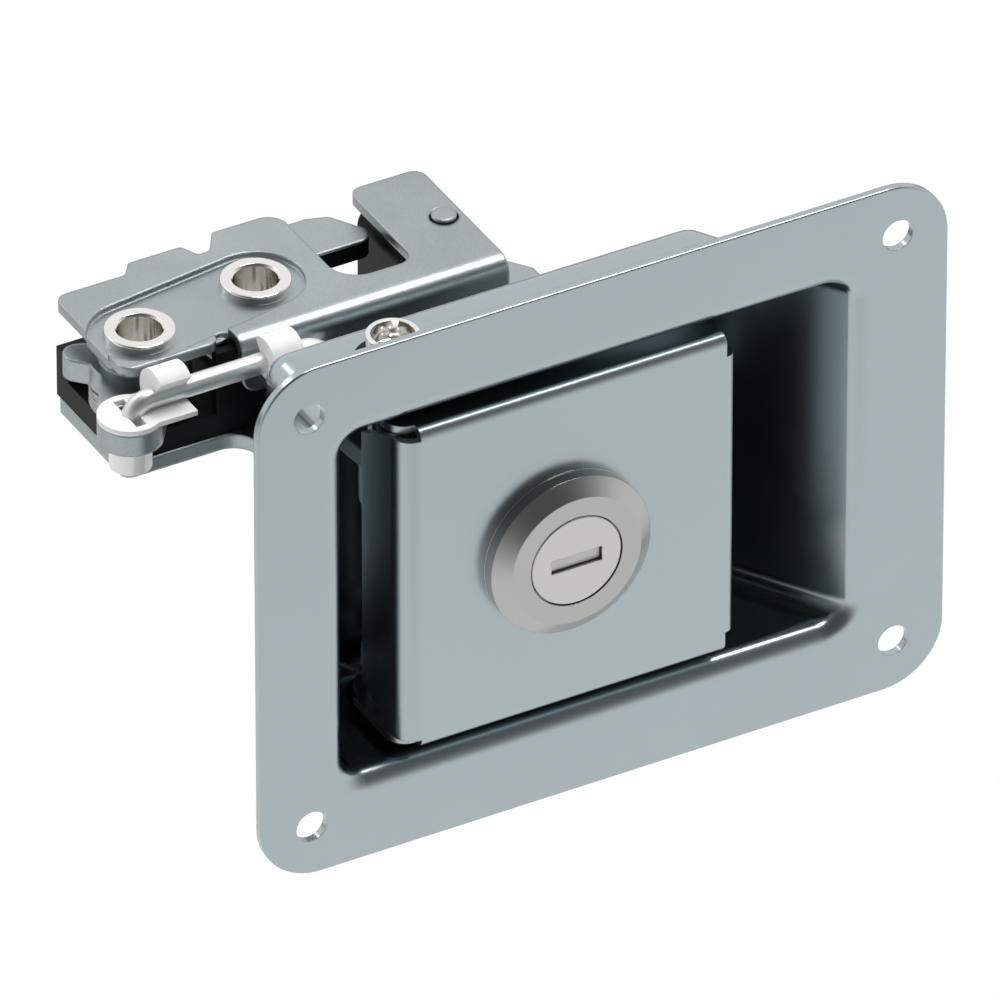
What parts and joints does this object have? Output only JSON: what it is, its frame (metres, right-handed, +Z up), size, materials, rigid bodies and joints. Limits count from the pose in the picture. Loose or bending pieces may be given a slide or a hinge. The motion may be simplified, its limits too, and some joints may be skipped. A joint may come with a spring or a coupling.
{
  "type": "slam latch",
  "caption": "Flush slam latch: a keyed pull paddle in a pressed tray drives a rod to a rotary latch behind it, whose rotor closes on a striker.",
  "frame": {"origin": "centre of the fixing hole pattern, on the back face of the tray's flange", "axes": "+X to the right as seen from the front, +Y into the panel, +Z up along the paddle's hinge"},
  "size_m": [0.1168, 0.0627, 0.084],
  "materials": {
    "zinc_sheet": "satin zinc plate, cool grey",
    "latch_sheet": "fine-grained zinc plate",
    "bright_nickel": "polished, slightly warm",
    "lock_alloy": "satin with turned bevel",
    "rod_steel": "bright drawn wire",
    "white_plastic": "white, semi-gloss",
    "black_plastic": "black, fine texture",
    "black_rubber": "black",
    "spring_steel": "bright drawn wire"
  },
  "bodies": {
    "fixed": {"tray": "zinc_sheet", "hinge_bush_top": "black_plastic", "hinge_bush_bottom": "black_plastic", "mounting_bracket": "latch_sheet", "bracket_rivets": "bright_nickel", "latch_housing": "black_plastic", "latch_top_plate": "latch_sheet", "stop_stud": "bright_nickel", "mouth_bumper": "black_rubber", "pawl_rivet": "bright_nickel", "rotor_rivet": "bright_nickel", "pawl_spring": "spring_steel", "rotor_spring": "spring_steel"},
    "paddle_body": {"paddle": "zinc_sheet", "hinge_tube": "bright_nickel", "lock_ring": "lock_alloy", "lock_housing": "lock_alloy", "lock_nut": "zinc_sheet", "drive_lever": "zinc_sheet", "return_spring": "spring_steel"},
    "key_body": {"lock_plug": "lock_alloy", "lock_cam": "zinc_sheet", "lock_cam_screw": "zinc_sheet"},
    "trigger_body": {"trigger_lever": "latch_sheet"},
    "rod_body": {"connecting_rod": "rod_steel", "rod_clip_latch": "white_plastic", "rod_clip_paddle": "white_plastic"},
    "rotor_body": {"rotor": "latch_sheet", "rotor_overmould": "black_plastic"}
  },
  "joints": [
    {"name": "paddle_hinge", "type": "hinge", "parent": "fixed", "child": "paddle_body", "pos_m": [-0.0257, 0.0123, 0], "axis": [0, 0, 1], "range_deg": [-20, 0], "stiffness_Nm_per_rad": 0.15, "springref_deg": 20.05, "deforming": ["return_spring"]},
    {"name": "key_turn", "type": "hinge", "parent": "paddle_body", "child": "key_body", "pos_m": [-0.0068, 0, 0], "axis": [0, 1, 0], "range_deg": [0, 90]},
    {"name": "trigger_pivot", "type": "hinge", "parent": "fixed", "child": "trigger_body", "pos_m": [-0.05, 0.0403, 0.019], "axis": [0, 0, 1], "range_deg": [0, 22.8]},
    {"name": "rod_pivot", "type": "hinge", "parent": "trigger_body", "child": "rod_body", "pos_m": [-0.0582, 0.0278, 0.019], "axis": [0, 0, 1], "range_deg": [-18.4, 0]},
    {"name": "rotor_pivot", "type": "hinge", "parent": "fixed", "child": "rotor_body", "pos_m": [-0.03025, 0.04337, 0.0206], "axis": [0, 0, 1], "range_deg": [0, 45.1]}
  ],
  "couplings": [
    {"joint": "trigger_pivot", "follows": "paddle_hinge", "ratio": -1.135},
    {"joint": "rod_pivot", "follows": "paddle_hinge", "ratio": 0.915},
    {"joint": "rotor_pivot", "follows": "paddle_hinge", "ratio": -2.25}
  ]
}
